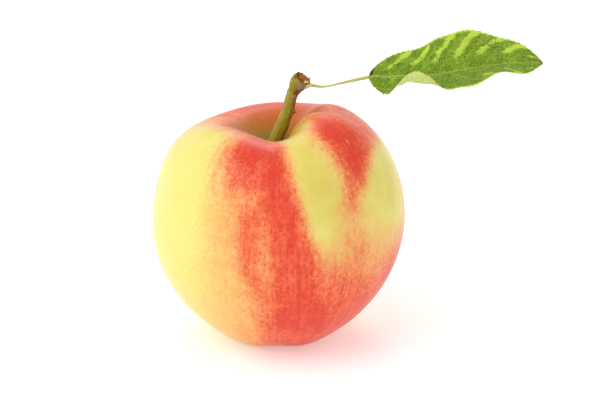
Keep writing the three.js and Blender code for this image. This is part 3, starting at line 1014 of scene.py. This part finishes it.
def calyx_material(calyx):
    """Dry brown sepals and stamens with grey down."""
    material, shader = new_material("dry_calyx")
    place = shader.place()
    down = shader.noise(shader.scaled(place, (1, 1, 0.4)), 0.3, 3) - 0.5
    blotch = shader.noise(place, 1.2, 2) - 0.5
    colour_here = (down * 2.5 + blotch * 2 + 0.4).ease(0.1, 0.9).mix(calyx.brown, calyx.grey)
    finish_surface(shader, {
        "Base Color": colour_here,
        "Roughness": 0.85,
        "Normal": shader.bump(down, 0.1 * MM, 0.8),
        "Sheen Weight": 0.3,
    })
    return material


def floor_material():
    """Matt white acrylic, lit from underneath."""
    material, shader = new_material("white_table")
    grain = shader.noise(shader.place(), 1.5, 2)
    finish_surface(shader, {
        "Base Color": grain.mix((0.86, 0.86, 0.86, 1), (0.88, 0.88, 0.88, 1)),
        "Roughness": 0.9,
        "Specular IOR Level": 0.2,
        "Emission Color": (1, 1, 1, 1),
        "Emission Strength": 0.3,
    })
    return material


# ---- Operators ---------------------------------------------------


class AddFruit(bpy.types.Operator):
    """Adds the fruit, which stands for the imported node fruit"""

    bl_idname = "apple.add_fruit"
    bl_label = "Add fruit"

    def execute(self, context):
        fruit = context.scene.apple_fruit
        t, s = grid(*FRUIT_GRID)
        points = fruit_surface(t, s, fruit)
        polar, azimuth = crowded(t), TURN * s
        scar_place = skin(*np.radians(SCAR), fruit)
        depth = fruit.half_height + 0.5 * MM - points[..., 2]
        below_rim = points[..., 2].max(0) - points[..., 2]
        inside = np.arange(len(points))[:, None] > points[..., 2].argmax(0)
        away = np.hypot(points[..., 0], points[..., 1])
        # Painted shade in the stem cavity: shaded is weaker at the cavity's lit front, and it carries the
        # two cavity masks below, which are partly russet and partly painted shade.
        shaded = (1 - 0.6 * bell(azimuth, *LIGHT_FRONT)) * inside
        deep = ease(depth, 4 * MM, fruit.cavity_depth)
        layers = {
            "blush": painted(BLUSH, polar, azimuth),
            "peach": painted(PEACH, polar, azimuth),
            "green": painted(GREEN, polar, azimuth),
            "hollow": shaded * deep * ease(-away, -18 * MM, -12 * MM),
            "wall": shaded * ease(-away, -20 * MM, -10 * MM),
            # A narrow ring just below the rim's crest, where the pale painted sheen is laid on the skin.
            "bloom": np.exp(-((below_rim / (0.5 * MM)) ** 2)) * ease(away, 6 * MM, 10 * MM),
            "scar": np.exp(-(np.linalg.norm(points - scar_place, axis=-1) / (0.7 * MM)) ** 2),
            "meridian": STREAK_RADIUS * np.stack([np.cos(azimuth), np.sin(azimuth), polar], -1),
        }
        part = closed_loft(points, layers)
        make_piece("ripe_fruit", [part], skin_material(fruit), ["fruit"])
        return {"FINISHED"}


class AddStem(bpy.types.Operator):
    """Adds the stem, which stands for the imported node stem"""

    bl_idname = "apple.add_stem"
    bl_label = "Add stem"

    def execute(self, context):
        stem = context.scene.apple_stem
        t, s = grid(*STEM_GRID)
        layers = {"along": t, "around": np.cos(TURN * s), "side": np.sin(TURN * s)}
        part = closed_loft(stem_surface(t, s, stem), layers)
        make_piece("ribbed_stem", [part], rind_material(stem), ["stem"])
        return {"FINISHED"}


class AddSpurStub(bpy.types.Operator):
    """Adds the torn stub of the spur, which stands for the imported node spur_stub"""

    bl_idname = "apple.add_spur_stub"
    bl_label = "Add spur stub"

    def execute(self, context):
        stem = context.scene.apple_stem
        t, s = grid(*STUB_GRID)
        points = stub_surface(t * 0.99, s, stem)
        along, inward = stub_shares(t)
        layers = {"inward": inward, "along": along, "side": -np.cos(TURN * s)}
        part = closed_loft(points, layers)
        make_piece("torn_spur_stub", [part], bark_material(stem), ["spur_stub"])
        return {"FINISHED"}


class AddLeaf(bpy.types.Operator):
    """Adds the leaf with its stalk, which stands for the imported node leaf"""

    bl_idname = "apple.add_leaf"
    bl_label = "Add leaf"

    def execute(self, context):
        leaf = context.scene.apple_leaf
        points, layers = leaf_surface(*LEAF_GRID, leaf)
        part = closed_loft(points, layers)
        make_piece("veined_leaf", [part], leaf_material(leaf), ["leaf"])
        return {"FINISHED"}


class AddCalyx(bpy.types.Operator):
    """Adds the dry sepals and stamens underneath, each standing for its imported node"""

    bl_idname = "apple.add_calyx"
    bl_label = "Add calyx"

    def execute(self, context):
        calyx = context.scene.apple_calyx
        fruit = context.scene.apple_fruit
        material = calyx_material(calyx)
        foot = fruit.basin_depth - fruit.half_height - 0.6 * MM
        t, s = grid(*SEPAL_GRID)
        for index in range(SEPALS["count"]):
            azimuth = SEPALS["turn"] + 360 / SEPALS["count"] * index
            part = closed_loft(sepal_surface(t, s, azimuth, foot))
            make_piece(f"dry_sepal_{index + 1}", [part], material, [f"sepal_{index + 1}"])
        random = np.random.default_rng(4)
        t, s = grid(*THREAD_GRID)
        threads = []
        for index in range(calyx.threads):
            angle = TURN * (index * 0.618 % 1)
            reach = math.sqrt((index + 0.5) / calyx.threads)
            side = np.array([math.cos(angle), math.sin(angle), 0])
            root = side * reach * 1.5 * MM + [0, 0, foot + 0.9 * MM]
            tip = side * reach * 1.2 * MM + [0, 0, foot - random.uniform(1.8, 3.2) * MM]
            tip = tip + random.normal(size=3) * 0.25 * MM
            bow = random.normal(size=3) * 0.3 * MM
            threads.append(closed_loft(thread_surface(t, s, root, tip, bow)))
        make_piece("dry_stamens", threads, material, ["stamen_tuft"])
        return {"FINISHED"}


class AddStage(bpy.types.Operator):
    """Adds the floor, the lights and the camera"""

    bl_idname = "apple.add_stage"
    bl_label = "Add stage"

    def execute(self, context):
        stage = context.scene.apple_stage
        middle = Vector(fruit_middle())
        aim = middle + Vector(AIM) * MM
        add_floor()
        add_camera(stage, aim)
        for name, direction, distance, size, part in LAMPS:
            add_light(name, middle, direction, distance, size, stage.key * part)
        world = bpy.data.worlds.new("white_room")
        world.use_nodes = True
        background = world.node_tree.nodes["Background"].inputs
        background["Color"].default_value = (1, 1, 1, 1)
        background["Strength"].default_value = stage.sky
        context.scene.world = world
        context.scene.view_settings.view_transform = "Standard"
        return {"FINISHED"}


def add_floor():
    """A white floor under the object."""
    mesh = bpy.data.meshes.new("floor")
    corners = [(FLOOR_HALF * x, FLOOR_HALF * y, 0) for x, y in [(-1, -1), (1, -1), (1, 1), (-1, 1)]]
    mesh.from_pydata(corners, [], [(0, 1, 2, 3)])
    mesh.materials.append(floor_material())
    floor = bpy.data.objects.new("floor", mesh)
    bpy.context.scene.collection.objects.link(floor)


def add_camera(stage, aim):
    """The camera in front of the object, looking down at it by the stage's elevation."""
    camera = bpy.data.objects.new("camera", bpy.data.cameras.new("camera"))
    back = Vector((0, -math.cos(stage.elevation), math.sin(stage.elevation)))
    camera.location = aim + back * stage.distance
    camera.rotation_euler = back.to_track_quat("Z", "Y").to_euler()
    camera.data.lens = stage.lens
    camera.data.sensor_width = 36
    camera.data.clip_start = 0.01
    bpy.context.scene.collection.objects.link(camera)
    bpy.context.scene.camera = camera


def add_light(name, middle, direction, distance, size, power):
    """A square soft light, facing the fruit from that direction."""
    light = bpy.data.lights.new(name, "AREA")
    light.size = size
    light.energy = power
    lamp = bpy.data.objects.new(name, light)
    away = Vector(direction).normalized()
    lamp.location = middle + away * distance
    lamp.rotation_euler = away.to_track_quat("Z", "Y").to_euler()
    bpy.context.scene.collection.objects.link(lamp)


# ---- Add-on ------------------------------------------------------


PIECES = [AddFruit, AddStem, AddSpurStub, AddLeaf, AddCalyx, AddStage]
SETTINGS = {
    "apple_fruit": FruitSettings,
    "apple_stem": StemSettings,
    "apple_leaf": LeafSettings,
    "apple_calyx": CalyxSettings,
    "apple_stage": StageSettings,
}


class ApplePanel(bpy.types.Panel):
    """Lists the apple's pieces and their settings"""

    bl_idname = "VIEW3D_PT_apple"
    bl_label = "Apple"
    bl_space_type = "VIEW_3D"
    bl_region_type = "UI"
    bl_category = "Apple"

    def draw(self, context):
        for piece in PIECES:
            self.layout.operator(piece.bl_idname)
        for name, group in SETTINGS.items():
            box = self.layout.box()
            settings = getattr(context.scene, name)
            for key in group.__annotations__:
                box.prop(settings, key)


def register():
    """Registers the classes and gives the scene its settings."""
    for item in [*SETTINGS.values(), *PIECES, ApplePanel]:
        bpy.utils.register_class(item)
    for name, group in SETTINGS.items():
        setattr(bpy.types.Scene, name, PointerProperty(type=group))


def unregister():
    """Takes away what register added."""
    for name in SETTINGS:
        delattr(bpy.types.Scene, name)
    for item in [ApplePanel, *PIECES, *SETTINGS.values()]:
        bpy.utils.unregister_class(item)


def main():
    """Builds the whole object."""
    register()
    bpy.ops.apple.add_fruit()
    bpy.ops.apple.add_stem()
    bpy.ops.apple.add_spur_stub()
    bpy.ops.apple.add_leaf()
    bpy.ops.apple.add_calyx()
    bpy.ops.apple.add_stage()


if __name__ == "__main__":
    main()
